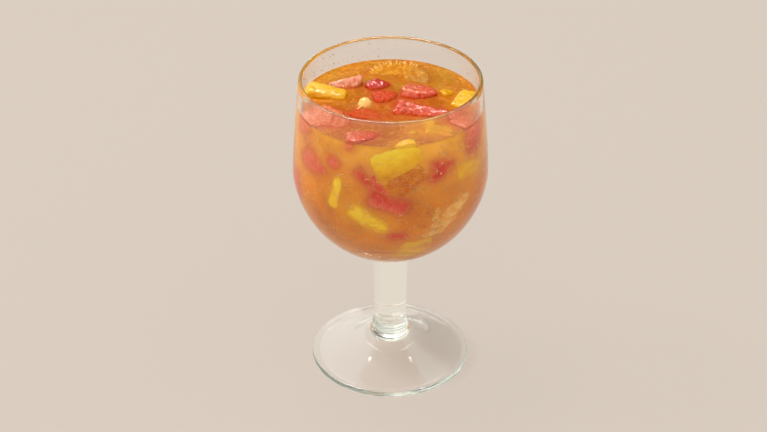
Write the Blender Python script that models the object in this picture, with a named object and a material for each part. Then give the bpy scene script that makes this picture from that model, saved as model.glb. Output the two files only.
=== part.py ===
"""A stemmed glass of thick citrus juice with cut strawberry, mango and orange in it.

Lengths are in metres and +Z is up. The origin is the middle of the foot's underside,
and the front of the glass faces -Y. Every piece of fruit is a solid of its own, in a
pocket of the juice, and shows either above the juice or against the wall of the bowl.
"""

import math

import bmesh
import bpy
import numpy as np
from mathutils import Euler, Matrix, Vector, noise

MM = 0.001

# Bowl of the glass
HEIGHT = 150 * MM
BELLY_HEIGHT = 104.2 * MM
BELLY_RADIUS = 44.8 * MM
RIM_RADIUS = 41.2 * MM
BOWL_BOTTOM = 60.8 * MM
BELLY_WALL = 2.2 * MM
RIM_WALL = 1.8 * MM
BOWL_FLOOR = 3.5 * MM
LOWER_BULGE = 1.76
LOWER_ROUNDNESS = 2.25
UPPER_LEAN = 1.27

# Stem and foot of the glass
STEM_TOP_RADIUS = 8.4 * MM
STEM_FOOT_RADIUS = 7.4 * MM
BEAD_RADIUS = 9.7 * MM
BEAD_HEIGHT = 13.6 * MM
BEAD_ROUND = 2.0 * MM
RING_RADIUS = 8.3 * MM
RING_HEIGHT = 17.6 * MM
RING_ROUND = 1.3 * MM
FOOT_RADIUS = 37.7 * MM
FOOT_EDGE = 2.7 * MM
FOOT_HOLLOW = 9.2 * MM
FOOT_RING_INNER = 33.5 * MM

# Contents
JUICE_LEVEL = 137.2 * MM
GAP = 0.3 * MM
POCKET_REACH = 0.3 * MM

# Fineness of the turned and cut shapes
SEGMENTS = 40
LOWER_STEPS = 7
UPPER_STEPS = 4
MERGE = 0.001 * MM
NOISE_SEED = 11
NOISE_SCALE = 6 * MM
FLAT_CORNER = 0.2
SMOOTH_ANGLE = math.radians(35)

# Colour, roughness and metallic value of each material
MATERIALS = {
    "clear_glass": ((0.86, 0.88, 0.86, 1.0), 0.03, 0.0),
    "citrus_juice": ((0.64, 0.25, 0.06, 1.0), 0.25, 0.0),
    "strawberry_flesh": ((0.62, 0.08, 0.05, 1.0), 0.3, 0.0),
    "mango_flesh": ((0.85, 0.52, 0.04, 1.0), 0.3, 0.0),
    "orange_flesh": ((0.80, 0.38, 0.06, 1.0), 0.3, 0.0),
    "pale_nub": ((0.86, 0.68, 0.32, 1.0), 0.35, 0.0),
}

# Fruit that stands out of the juice: name, shape, length, width and height,
# middle, and turn about X, Y and Z in degrees
SURFACE_FRUIT = [
    ("orange_back", "segment", (33, 16.5, 10.5), (2.4, 20.0, 137.0), (-11, 0, -20)),
    ("strawberry_back_left", "wedge", (17.5, 9.5, 11), (-20.4, 16.2, 136.4), (0, -16, 10)),
    ("strawberry_back_small", "lump", (11.5, 7.5, 8), (-6.0, 14.6, 136.7), (0, 0, 8)),
    ("mango_left", "block", (18, 9.5, 9), (-28.8, 6.6, 136.8), (6, 6, -12)),
    ("strawberry_back_right", "slice", (16, 10.5, 8), (13.0, 7.6, 136.9), (-5, 0, -6)),
    ("strawberry_middle", "slice", (13, 9.5, 7.6), (-2.4, 4.4, 135.8), (0, 0, 26)),
    ("strawberry_large", "wedge", (27, 15, 11.5), (14.4, -8.2, 136.0), (0, 3, -16)),
    ("mango_small", "block", (7, 5.6, 5.6), (25.6, 7.6, 136.6), (0, 10, 25)),
    ("mango_right", "block", (15, 9.5, 8), (33.0, 1.0, 136.2), (0, -6, 72)),
    ("pale_piece", "lump", (6.5, 5.5, 7), (-11.3, -2.8, 137.4), (0, 20, 40)),
    ("strawberry_front_middle", "slice", (17.5, 9.5, 7.4), (-9.4, -12.2, 135.2), (0, 0, -14)),
    ("strawberry_front_left", "slice", (23, 18, 8), (-27.0, -15.5, 135.0), (0, 0, -35)),
    ("strawberry_front", "slice", (17, 8.5, 6), (-11.6, -31.2, 136.2), (0, 3, 16)),
    ("mango_front_right", "block", (13, 10.5, 6), (20.6, -25.5, 135.4), (0, 0, -6)),
    ("mango_front_small", "block", (5.5, 5.5, 5), (10.4, -26.8, 135.8), (0, 0, 30)),
    ("strawberry_right", "slice", (18, 13, 14), (32.5, -15.6, 132.0), (4, 0, 66)),
]

# Fruit against the wall: name, shape, length, height and depth, angle from the front,
# height of its middle, and lean on the wall in degrees
WALL_FRUIT = [
    ("mango_front", "block", (21.5, 14, 14), 4.4, 131.1, 24),
    ("strawberry_left_high", "slice", (18, 11, 14), -53, 121.4, -12),
    ("strawberry_left_small", "lump", (7, 6.5, 12), -35.5, 126.4, 0),
    ("mango_stick", "dice", (17, 6.5, 14), -34.2, 112.0, 80),
    ("strawberry_upper", "wedge", (11.6, 8, 15), -15.3, 122.0, -48),
    ("strawberry_lower", "wedge", (21, 12, 16), 0.2, 110.7, -22),
    ("mango_lower_left", "dice", (20.5, 10.5, 14), -13.2, 101.2, -30),
    ("strawberry_seeded", "slice", (14, 11, 15), 32, 124.3, 10),
    ("mango_right_low", "dice", (17, 9, 15), 55, 118.0, -10),
    ("orange_skin", "sheet", (28, 9, 10), 37, 98.0, 36),
    ("orange_front", "segment", (15, 7, 10), 14.5, 117.4, 34),
    ("strawberry_low", "lump", (9, 5, 10), 4.4, 92.6, 0),
    ("mango_bottom", "dice", (14, 10, 12), 16, 80.0, -10),
    ("strawberry_left_low", "slice", (15, 11, 13), -74, 103.0, 70),
    ("strawberry_right_low", "lump", (12, 10, 12), 72, 91.0, 40),
    ("mango_back_high", "dice", (17, 10, 15), 112, 125.0, 15),
    ("strawberry_back_wall", "wedge", (17, 12, 15), 141, 111.0, -20),
    ("orange_back_wall", "segment", (22, 10, 13), 168, 119.0, 8),
    ("mango_back_low", "dice", (15, 10, 13), 182, 100.0, -35),
    ("strawberry_back_low", "slice", (15, 11, 14), 208, 111.0, 25),
    ("mango_back_side", "dice", (16, 10, 15), 234, 124.0, -10),
    ("strawberry_side", "wedge", (13, 11, 14), 259, 116.0, 40),
    ("strawberry_bottom", "lump", (11, 8, 12), 122, 90.0, -15),
    ("mango_bottom_back", "dice", (12, 8.5, 12), 226, 88.0, 20),
]

# Share of a wall piece's depth that lies outside the wall before it is trimmed
WALL_OVERHANG = 0.38


def clear_scene():
    """Remove whatever the file opened with."""
    for obj in list(bpy.data.objects):
        bpy.data.objects.remove(obj, do_unlink=True)


def material(name):
    """The Principled material of that name, made on first use."""
    if name in bpy.data.materials:
        return bpy.data.materials[name]
    colour, roughness, metallic = MATERIALS[name]
    made = bpy.data.materials.new(name)
    made.use_nodes = True
    shader = made.node_tree.nodes["Principled BSDF"]
    shader.inputs["Base Color"].default_value = colour
    shader.inputs["Roughness"].default_value = roughness
    shader.inputs["Metallic"].default_value = metallic
    made.diffuse_color = colour
    return made


def fruit_material(name):
    """Strawberry, mango and orange pieces are told apart by the start of their name."""
    kind = name.split("_")[0]
    return material("pale_nub" if kind == "pale" else kind + "_flesh")


def add_object(name, bm, finish=None):
    """Turn a bmesh into an object, with a material unless it is a cutter."""
    mesh = bpy.data.meshes.new(name)
    bm.to_mesh(mesh)
    bm.free()
    obj = bpy.data.objects.new(name, mesh)
    bpy.context.scene.collection.objects.link(obj)
    if finish is None:
        obj.hide_render = True
        obj.display_type = "WIRE"
    else:
        mesh.materials.append(finish)
        mesh.shade_smooth()
        mesh.set_sharp_from_angle(angle=SMOOTH_ANGLE)
    return obj


def turned(profile):
    """A closed solid turned about Z from (radius, height) points, axis to axis."""
    bm = bmesh.new()
    verts = [bm.verts.new((radius, 0, height)) for radius, height in profile]
    edges = [bm.edges.new(pair) for pair in zip(verts, verts[1:])]
    bmesh.ops.spin(bm, geom=verts + edges, cent=(0, 0, 0), axis=(0, 0, 1),
                   angle=math.tau, steps=SEGMENTS, use_merge=True)
    bmesh.ops.remove_doubles(bm, verts=bm.verts, dist=MERGE)
    bmesh.ops.recalc_face_normals(bm, faces=bm.faces)
    return bm


def bowl_radius(height, inset=0.0, bottom=BOWL_BOTTOM, belly=BELLY_RADIUS, rim=RIM_RADIUS):
    """Radius of one wall of the bowl at a height, less an even inset."""
    if height < BELLY_HEIGHT:
        down = min((BELLY_HEIGHT - height) / (BELLY_HEIGHT - bottom), 1.0)
        return belly * (1 - down ** LOWER_BULGE) ** (1 / LOWER_ROUNDNESS) - inset
    up = (height - BELLY_HEIGHT) / (HEIGHT - BELLY_HEIGHT)
    return belly - (belly - rim) * up ** UPPER_LEAN - inset


def inner_radius(height, inset=0.0):
    """Radius of the bowl's inner wall at a height, less an even inset."""
    return bowl_radius(height, inset, BOWL_BOTTOM + BOWL_FLOOR + inset,
                       BELLY_RADIUS - BELLY_WALL, RIM_RADIUS - RIM_WALL)


def bowl_heights(bottom, top, first=1):
    """Heights up the bowl, close together where its lower part curves most."""
    lower = [BELLY_HEIGHT - (BELLY_HEIGHT - bottom) * math.cos(0.5 * math.pi * k / LOWER_STEPS)
             for k in range(first, LOWER_STEPS)]
    upper = [BELLY_HEIGHT + (top - BELLY_HEIGHT) * k / UPPER_STEPS for k in range(UPPER_STEPS + 1)]
    return lower + upper


def arc(centre_radius, centre_height, size, start, end, steps):
    """Points on an arc of the turned profile, from a start to an end angle in degrees."""
    points = []
    for k in range(steps + 1):
        angle = math.radians(start + (end - start) * k / steps)
        points.append((centre_radius + size * math.cos(angle), centre_height + size * math.sin(angle)))
    return points


def foot_profile():
    """Hollow underside, flat standing ring, round edge and the even rise to the stem."""
    edge = FOOT_EDGE / 2
    underside = [(0.0, FOOT_HOLLOW), (12 * MM, FOOT_HOLLOW * 0.86), (22 * MM, FOOT_HOLLOW * 0.45),
                 (FOOT_RING_INNER, 0.0)]
    rim = arc(FOOT_RADIUS - edge, edge, edge, -90, 78, 4)
    rise = [(30 * MM, 4.7 * MM), (21 * MM, 7.9 * MM), (14 * MM, 10.3 * MM), (10.4 * MM, 11.6 * MM)]
    return underside + rim + rise


def stem_profile():
    """The bead and the ring above the foot, and the stem up to the bowl."""
    bead = arc(BEAD_RADIUS - BEAD_ROUND, BEAD_HEIGHT, BEAD_ROUND, -48, 60, 4)
    ring = arc(RING_RADIUS - RING_ROUND, RING_HEIGHT, RING_ROUND, -45, 60, 2)
    stem = [(STEM_FOOT_RADIUS - 0.15 * MM, 19.6 * MM), (STEM_FOOT_RADIUS, 21.5 * MM),
            (STEM_FOOT_RADIUS + 0.4 * MM, 40 * MM), (STEM_TOP_RADIUS, 58 * MM),
            (STEM_TOP_RADIUS + 0.7 * MM, 60.6 * MM)]
    return bead + ring + stem


def glass_profile():
    """The whole outline of the glass, from the foot's underside round to the bowl's floor."""
    top = HEIGHT - RIM_WALL / 2
    outer = [(bowl_radius(height), height) for height in bowl_heights(BOWL_BOTTOM, top)]
    rim = arc(RIM_RADIUS - RIM_WALL / 2, top, RIM_WALL / 2, 45, 135, 2)
    floor = BOWL_BOTTOM + BOWL_FLOOR
    inner = [(inner_radius(height), height) for height in reversed(bowl_heights(floor, top))]
    return foot_profile() + stem_profile() + outer + rim + inner + [(0.0, floor)]


def room_profile(top, inset):
    """The space in the bowl up to a height, an even inset clear of the wall."""
    floor = BOWL_BOTTOM + BOWL_FLOOR + inset
    wall = [(inner_radius(height, inset), height)
            for height in bowl_heights(BOWL_BOTTOM + BOWL_FLOOR, HEIGHT - RIM_WALL / 2)
            if height < top - MM]
    return [(0.0, floor)] + wall + [(inner_radius(top, inset), top), (0.0, top)]


def fit_box(bm, size):
    """Scale and centre a shape so that it fills a box of that size."""
    low = [min(v.co[axis] for v in bm.verts) for axis in range(3)]
    high = [max(v.co[axis] for v in bm.verts) for axis in range(3)]
    middle = Vector([(a + b) / 2 for a, b in zip(low, high)])
    scale = Vector([wanted / (b - a) for wanted, a, b in zip(size, low, high)])
    bmesh.ops.translate(bm, vec=-middle, verts=bm.verts)
    bmesh.ops.scale(bm, vec=scale, verts=bm.verts)


def cut_flat(bm, direction, distance):
    """Slice off what lies beyond a plane and close the cut face."""
    normal = Vector(direction).normalized()
    everything = bm.verts[:] + bm.edges[:] + bm.faces[:]
    bmesh.ops.bisect_plane(bm, geom=everything, plane_co=normal * distance, plane_no=normal,
                           dist=1e-5, clear_outer=True)
    rim = [edge for edge in bm.edges if edge.is_boundary]
    bmesh.ops.holes_fill(bm, edges=rim, sides=0)


def whole_berry():
    """A strawberry of unit size, its stalk end at -X and its tip at +X."""
    bm = bmesh.new()
    bmesh.ops.create_uvsphere(bm, u_segments=8, v_segments=6, radius=1.0)
    bmesh.ops.rotate(bm, verts=bm.verts, matrix=Matrix.Rotation(math.pi / 2, 3, "Y"))
    for vert in bm.verts:
        towards_tip = (vert.co.x + 1) / 2
        narrow = 1 - 0.5 * towards_tip ** 1.6
        vert.co.y *= narrow
        vert.co.z *= narrow
    return bm


def slice_shape(size):
    """A lengthwise slice of strawberry: cut flat above and below, skin round the edge."""
    bm = whole_berry()
    cut_flat(bm, (0.10, 0, 1), 0.30)
    cut_flat(bm, (0, 0.12, -1), 0.42)
    cut_flat(bm, (-1, 0.25, 0), 0.62)
    fit_box(bm, size)
    return bm


def wedge_shape(size):
    """A quarter of a strawberry: two cut faces that meet in a ridge, skin below."""
    bm = whole_berry()
    cut_flat(bm, (0.05, 0.75, 1), 0.05)
    cut_flat(bm, (0.10, -1, 0.70), 0.30)
    cut_flat(bm, (-1, 0, 0.3), 0.70)
    fit_box(bm, size)
    return bm


def lump_shape(size):
    """A small rounded scrap, fuller at one end."""
    bm = bmesh.new()
    bmesh.ops.create_icosphere(bm, subdivisions=2, radius=1.0)
    for vert in bm.verts:
        fullness = 1 - 0.22 * vert.co.x
        vert.co.y *= fullness
        vert.co.z *= fullness
    fit_box(bm, size)
    return bm


def block_shape(size, rounding_steps=2):
    """A diced piece of mango: a tapered block with soft edges."""
    bm = bmesh.new()
    bmesh.ops.create_cube(bm, size=1.0)
    for vert in bm.verts:
        if vert.co.x > 0:
            vert.co.y *= 0.78
            vert.co.z *= 0.76
    fit_box(bm, size)
    bmesh.ops.bevel(bm, geom=bm.edges[:], offset=0.24 * min(size), offset_type="OFFSET",
                    segments=rounding_steps, profile=0.5, affect="EDGES", material=-1)
    return bm


def dice_shape(size):
    """A diced piece whose edges are cut by one facet, for places against the wall."""
    return block_shape(size, rounding_steps=1)


def segment_shape(size):
    """A segment of orange: an arc of juice cells swept through a narrow wedge."""
    opening = 2 * math.asin(min(size[2] / (2 * size[1]), 0.5))
    cells = 12
    bm = bmesh.new()
    verts = []
    for k in range(cells + 1):
        angle = math.pi * k / cells
        ripple = 0.965 if k % 2 else 1.0
        verts.append(bm.verts.new((math.cos(angle) * ripple, math.sin(angle) * ripple, 0)))
    edges = [bm.edges.new(pair) for pair in zip(verts, verts[1:])]
    bmesh.ops.rotate(bm, verts=verts, matrix=Matrix.Rotation(-opening / 2, 3, "X"))
    bmesh.ops.spin(bm, geom=verts + edges, cent=(0, 0, 0), axis=(1, 0, 0), angle=opening, steps=3)
    bmesh.ops.remove_doubles(bm, verts=bm.verts, dist=1e-4)
    sides = [edge for edge in bm.edges if edge.is_boundary]
    ends = sorted(bm.verts, key=lambda vert: vert.co.x)
    chord = bm.edges.new((ends[0], ends[-1]))
    for sign in (-1, 1):
        flat = [edge for edge in sides if sign * (edge.verts[0].co.z + edge.verts[1].co.z) > 0]
        bmesh.ops.contextual_create(bm, geom=flat + [chord])
    bmesh.ops.recalc_face_normals(bm, faces=bm.faces)
    bmesh.ops.scale(bm, vec=(size[0] / 2, size[1], size[1]), verts=bm.verts)
    return bm


def sheet_shape(size):
    """A torn strip of segment skin: thin, wavy and narrower at its ends."""
    length, width, depth = size
    bm = bmesh.new()
    bmesh.ops.create_grid(bm, x_segments=7, y_segments=2, size=0.5)
    for vert in bm.verts:
        along = vert.co.x
        vert.co.y *= (1 - 2.6 * along * along) * (1 + 0.22 * math.sin(19 * along))
        vert.co.y += 0.16 * math.sin(7 * along)
    bmesh.ops.scale(bm, vec=(length, width, 1), verts=bm.verts)
    grown = bmesh.ops.extrude_face_region(bm, geom=bm.faces[:])
    lifted = [item for item in grown["geom"] if isinstance(item, bmesh.types.BMVert)]
    bmesh.ops.translate(bm, vec=(0, 0, depth), verts=lifted)
    bmesh.ops.translate(bm, vec=(0, 0, -depth / 2), verts=bm.verts)
    bmesh.ops.recalc_face_normals(bm, faces=bm.faces)
    return bm


SHAPES = {
    "slice": slice_shape,
    "wedge": wedge_shape,
    "lump": lump_shape,
    "block": block_shape,
    "dice": dice_shape,
    "segment": segment_shape,
    "sheet": sheet_shape,
}
UNEVENNESS = {"slice": 0.5, "wedge": 0.5, "lump": 0.4, "block": 0.6, "dice": 0.6,
              "segment": 0.2, "sheet": 0.15}


def roughen(bm, amount, seed):
    """Push the points about by smooth noise, so that no two pieces are alike."""
    offset = Vector((seed * 7.3, seed * 3.1, seed * 5.7))
    for vert in bm.verts:
        vert.co += noise.noise_vector(vert.co / NOISE_SCALE + offset) * amount
    bmesh.ops.triangulate(bm, faces=bm.faces[:], quad_method="SHORT_EDGE", ngon_method="BEAUTY")


def grown_copy(bm):
    """The same shape, each corner moved so that the faces round it stand out by a pocket's reach."""
    pocket = bm.copy()
    pocket.normal_update()
    moves = []
    for vert in pocket.verts:
        normals = np.array([face.normal for face in vert.link_faces])
        reaches = np.full(len(normals), POCKET_REACH)
        moves.append(Vector(np.linalg.lstsq(normals, reaches, rcond=FLAT_CORNER)[0]))
    for vert, move in zip(pocket.verts, moves):
        vert.co += move
    return pocket


def add_boolean(obj, operation, cutter=None, cutters=None):
    """Cut an object by another object or by a collection, with the exact solver."""
    cut = obj.modifiers.new("cut", "BOOLEAN")
    cut.operation = operation
    cut.solver = "EXACT"
    if cutters is None:
        cut.object = cutter
    else:
        cut.operand_type = "COLLECTION"
        cut.collection = cutters


def wall_matrix(angle, height, lean, depth):
    """Place of a wall piece: X along the wall, Y up it, Z out of it."""
    around = math.radians(angle)
    step = 0.5 * MM
    slope = (inner_radius(height + step) - inner_radius(height - step)) / (2 * step)
    out = Vector((math.sin(around), -math.cos(around), -slope)).normalized()
    along = Vector((math.cos(around), math.sin(around), 0))
    up = out.cross(along)
    turn = Matrix((along, up, out)).transposed().to_4x4() @ Matrix.Rotation(math.radians(lean), 4, "Z")
    on_wall = Vector((math.sin(around), -math.cos(around), 0)) * inner_radius(height, GAP)
    on_wall.z = height
    return Matrix.Translation(on_wall - out * depth * (0.5 - WALL_OVERHANG)) @ turn


def surface_matrix(place, turn):
    """Place of a piece that floats in the juice."""
    angles = Euler([math.radians(value) for value in turn])
    return Matrix.Translation(Vector(place) * MM) @ angles.to_matrix().to_4x4()


def add_fruit(name, shape, size, matrix, room, pockets, seed):
    """One piece of fruit trimmed by the bowl, and the pocket it takes in the juice."""
    bm = SHAPES[shape]([value * MM for value in size])
    roughen(bm, UNEVENNESS[shape] * MM, seed)
    pocket = add_object("pocket_" + name, grown_copy(bm))
    piece = add_object(name, bm, fruit_material(name))
    piece.matrix_world = matrix
    pocket.matrix_world = matrix
    bpy.context.scene.collection.objects.unlink(pocket)
    pockets.objects.link(pocket)
    add_boolean(piece, "INTERSECT", cutter=room)


def build():
    """The glass, the fruit and the juice round it."""
    noise.seed_set(NOISE_SEED)
    clear_scene()
    add_object("glass", turned(glass_profile()), material("clear_glass"))
    room = add_object("room", turned(room_profile(HEIGHT, GAP)))
    pockets = bpy.data.collections.new("pockets")
    bpy.context.scene.collection.children.link(pockets)
    for seed, (name, shape, size, place, turn) in enumerate(SURFACE_FRUIT):
        add_fruit(name, shape, size, surface_matrix(place, turn), room, pockets, seed)
    for seed, (name, shape, size, angle, height, lean) in enumerate(WALL_FRUIT, len(SURFACE_FRUIT)):
        matrix = wall_matrix(angle, height * MM, lean, size[2] * MM)
        add_fruit(name, shape, size, matrix, room, pockets, seed)
    juice = add_object("juice", turned(room_profile(JUICE_LEVEL, GAP)), material("citrus_juice"))
    add_boolean(juice, "DIFFERENCE", cutters=pockets)


build()
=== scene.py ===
"""Looks of the fruit cup: thick citrus juice with strawberry, mango and orange in a stemmed glass.

Shapes are worked in millimetres and made metres when a piece is finished. +Z is up, the
origin is under the middle of the foot and the front of the glass faces -Y. Places on the
wall of the bowl are given as an angle from the front, towards +X, and a height.
"""

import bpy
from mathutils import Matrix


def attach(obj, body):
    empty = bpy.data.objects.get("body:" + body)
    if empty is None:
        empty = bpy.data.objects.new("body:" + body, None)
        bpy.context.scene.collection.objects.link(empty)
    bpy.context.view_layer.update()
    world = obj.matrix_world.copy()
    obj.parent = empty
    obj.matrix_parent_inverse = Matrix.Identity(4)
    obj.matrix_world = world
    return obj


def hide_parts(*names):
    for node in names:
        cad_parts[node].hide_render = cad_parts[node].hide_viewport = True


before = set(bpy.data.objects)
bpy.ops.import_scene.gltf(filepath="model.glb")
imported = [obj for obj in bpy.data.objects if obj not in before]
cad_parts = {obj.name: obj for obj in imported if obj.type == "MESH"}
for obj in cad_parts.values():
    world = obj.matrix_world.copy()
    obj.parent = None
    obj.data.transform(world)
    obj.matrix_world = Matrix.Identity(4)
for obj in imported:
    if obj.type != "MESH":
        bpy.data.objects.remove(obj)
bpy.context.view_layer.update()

import math

import bmesh
import bpy
import numpy as np
from mathutils import Euler, Matrix, Vector, noise
from mathutils.bvhtree import BVHTree

MM = 0.001
NOISE_SEED = 11

# Bowl, as in the solid glass
HEIGHT = 150.0
BELLY_HEIGHT = 104.2
BELLY_RADIUS = 44.8
RIM_RADIUS = 41.2
BOWL_BOTTOM = 60.8
BELLY_WALL = 2.2
RIM_WALL = 1.8
BOWL_FLOOR = 3.5
LOWER_BULGE = 1.76
LOWER_ROUNDNESS = 2.25
UPPER_LEAN = 1.27

# Foot and stem
FOOT_RADIUS = 37.7
FOOT_EDGE = 2.7
FOOT_HOLLOW = 9.2
FOOT_RING_INNER = 33.5
BEAD_RADIUS = 9.7
BEAD_HEIGHT = 13.6
BEAD_ROUND = 2.0
RING_RADIUS = 8.3
RING_HEIGHT = 17.6
RING_ROUND = 1.3

# Contents
JUICE_LEVEL = 137.2
JUICE_INTO_WALL = 0.05
FRUIT_INTO_WALL = 0.14
MENISCUS = 0.8
GLASS_SEGMENTS = 192
JUICE_SEGMENTS = 340
JUICE_CELL = 0.72
FRUIT_CELL = 0.42
MENISCUS_WIDTH = 2.6
SWELL_REACH = 39.0
BRIM_FROM = 39.6
SUNK_REACH = 16
SEGMENT_REACH = 16.5
SEGMENT_THICK = 10.5

# How near to the wall a piece of fruit starts to be pressed to it, and over what distance
PRESS_FROM = 0.9
PRESS_OVER = 1.5

# How far small things lie inside the wall; below 0 they reach into it and show over the juice
THREAD_DEPTH = -0.10
FLECK_DEPTH = -0.02
SEED_DEPTH = -0.12
PATCH_DEPTH = -0.13
NET_DEPTH = -0.16
BOTTOM_LINE_DEPTH = -0.30
MM_PER_DEGREE = 0.74


# ---- Colour helpers

def tint(red, green, blue):
    """A display colour, 0 to 255, as the linear values that a shader takes."""
    linear = []
    for value in (red, green, blue):
        share = value / 255
        linear.append(share / 12.92 if share <= 0.04045 else ((share + 0.055) / 1.055) ** 2.4)
    return tuple(linear) + (1.0,)


class Wire:
    """A value in a material that takes part in sums: each sum adds a Math node."""

    def __init__(self, paint, socket):
        self.paint = paint
        self.socket = socket

    def math(self, operation, *others):
        values = dict(enumerate((self,) + others))
        return self.paint.node("ShaderNodeMath", {"operation": operation}, values)

    def __add__(self, other):
        return self.math("ADD", other)

    __radd__ = __add__

    def __mul__(self, other):
        return self.math("MULTIPLY", other)

    __rmul__ = __mul__

    def __sub__(self, other):
        return self.math("SUBTRACT", other)

    def __rsub__(self, other):
        return (self * -1.0) + other

    def __truediv__(self, other):
        return self.math("DIVIDE", other)

    def most(self, other):
        return self.math("MAXIMUM", other)

    def least(self, other):
        return self.math("MINIMUM", other)

    def between(self, low, high):
        """0 below low and 1 above high, smoothly."""
        return self.paint.node("ShaderNodeMapRange", {"interpolation_type": "SMOOTHSTEP"},
                               {"Value": self, "From Min": low, "From Max": high})


class Paint:
    """The nodes of one material."""

    def __init__(self, name):
        self.material = bpy.data.materials.new(name)
        self.start(self.material, "ShaderNodeOutputMaterial")

    def start(self, owner, output):
        owner.use_nodes = True
        self.tree = owner.node_tree
        self.tree.nodes.clear()
        self.output = self.tree.nodes.new(output)

    def node(self, kind, settings=None, values=None, output=0):
        """A node of a type, its settings set first, then the values or links of its sockets."""
        made = self.tree.nodes.new(kind)
        for setting, value in (settings or {}).items():
            if setting == "stops":
                ramp = made.color_ramp
                while len(ramp.elements) < len(value):
                    ramp.elements.new(0.5)
                for element, (position, colour) in zip(ramp.elements, value):
                    element.position = position
                    element.color = colour
            else:
                setattr(made, setting, value)
        for key, value in (values or {}).items():
            if isinstance(value, Wire):
                self.tree.links.new(value.socket, made.inputs[key])
            else:
                made.inputs[key].default_value = value
        return Wire(self, made.outputs[output])

    def place(self):
        """Where a point of the piece is, in millimetres."""
        found = self.node("ShaderNodeTexCoord", output="Object")
        return self.node("ShaderNodeVectorMath", {"operation": "SCALE"},
                         {0: found, "Scale": 1 / MM})

    def stretched(self, place, scale, turn):
        """A place turned and scaled, to draw a grain out along one way."""
        return self.node("ShaderNodeMapping", {},
                         {"Vector": place, "Scale": scale, "Rotation": turn})

    def axis(self, place, name):
        return self.node("ShaderNodeSeparateXYZ", {}, {0: place}, output=name)

    def noise(self, place, size, detail=3.0, roughness=0.55, distortion=0.0):
        """Soft noise with features of a size in millimetres."""
        return self.node("ShaderNodeTexNoise", {},
                         {"Vector": place, "Scale": 1 / size, "Detail": detail,
                          "Roughness": roughness, "Distortion": distortion})

    def cells(self, place, size, feature="F1"):
        """Cell pattern with cells of a size in millimetres."""
        return self.node("ShaderNodeTexVoronoi", {"feature": feature},
                         {"Vector": place, "Scale": 1 / size, "Randomness": 1.0}, "Distance")

    def fibre(self, place, scale, turn, *noise):
        """Noise drawn out along one way."""
        return self.noise(self.stretched(place, scale, turn), *noise)

    def mix(self, share, first, second, blend="MIX"):
        """One colour into another, by a share."""
        return self.node("ShaderNodeMix", {"data_type": "RGBA", "blend_type": blend},
                         {0: share, 6: first, 7: second}, output=2)

    def ramp(self, value, stops):
        return self.node("ShaderNodeValToRGB", {"stops": stops}, {0: value})

    def mark(self, name, output="Fac"):
        """A value or colour painted on the piece's points."""
        return self.node("ShaderNodeAttribute", {"attribute_name": name}, {}, output)

    def bump(self, height, depth):
        """Relief of a depth in millimetres."""
        return self.node("ShaderNodeBump", {},
                         {"Height": height, "Distance": depth * MM, "Strength": 1.0})

    def surface(self, values):
        """The Principled shader that the material ends in."""
        shader = self.node("ShaderNodeBsdfPrincipled", {}, values)
        self.tree.links.new(shader.socket, self.output.inputs["Surface"])
        return self.material


class Room(Paint):
    """The nodes of the surroundings."""

    def __init__(self, name):
        self.world = bpy.data.worlds.new(name)
        self.start(self.world, "ShaderNodeOutputWorld")


# ---- Materials

JUICE_DEEP = tint(226, 136, 10)
JUICE_MIDDLE = tint(228, 134, 8)
JUICE_BRIGHT = tint(244, 176, 58)
# Paler at the bowl's floor: painted lightening for the paler look that the thick glass gives the
# bottom of the juice.
JUICE_FLOOR = tint(224, 148, 34)
# The juice top is much darker than the juice on the wall: painted shade that offsets the stronger
# light from above.
JUICE_TOP = tint(168, 84, 0)
JUICE_TOP_BACK = tint(168, 108, 14)
PULP = tint(240, 184, 76)
HALO_AT_FRUIT = 0.62
# Darkening for what shows above the juice: partly the deeper colour of wet flesh, partly painted
# shade against the stronger light from above.
WET_SHADE_DEPTH = (0.80, 0.64, 0.40, 1.0)
WET_SHADE_DEPTH_PALE = (0.92, 0.80, 0.62, 1.0)
WET_SHADE_DEPTH_RED = (0.86, 0.74, 0.56, 1.0)


def juice_colour(paint, place, wet):
    """Colour of the juice at a place: paler up the wall, clouded and flecked."""
    height = paint.axis(place, "Z")
    share = (height - 64.0) / (JUICE_LEVEL - 64.0)
    base = paint.ramp(share, [(0.0, JUICE_FLOOR), (0.25, JUICE_DEEP), (0.55, JUICE_MIDDLE),
                              (0.95, JUICE_BRIGHT)])
    if wet:
        behind = (paint.axis(place, "Y") + paint.noise(place, 9.0, 3.0) * 12.0).between(10.0, 26.0)
        base = paint.mix(behind, JUICE_TOP, JUICE_TOP_BACK)
    cloud = paint.noise(place, 16.0, 3.0, 0.5)
    curdle = paint.noise(place, 2.6, 4.0, 0.6)
    base = paint.mix(cloud.between(0.40, 0.68) * 0.42, base, tint(190, 88, 6))
    base = paint.mix(curdle.between(0.50, 0.76) * 0.34, base, PULP)
    drawn = paint.fibre(place, (1.0, 1.0, 1.8), (0.3, 0.2, 0.0), 3.4, 4.0, 0.62, 0.6)
    thread = 1.0 - (drawn - 0.5).math("ABSOLUTE").between(0.0, 0.028)
    base = paint.mix(thread * (0.20 + cloud * 0.30), base, PULP)
    grain = paint.noise(place, 0.55, 2.0, 0.6)
    base = paint.mix(grain.between(0.5, 0.75) * 0.16, base, PULP)
    base = paint.mix((1.0 - grain).between(0.5, 0.75) * 0.12, base, tint(190, 92, 10))
    fleck = 1.0 - paint.cells(place, 2.3).between(0.05, 0.15)
    return paint.mix(fleck * 0.45, base, PULP)


def ragged_share(paint, place):
    """An uneven share round 1, which breaks up the edges of what the juice veils."""
    return 0.72 + paint.noise(place, 1.1, 3.0, 0.6) * 0.56


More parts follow.
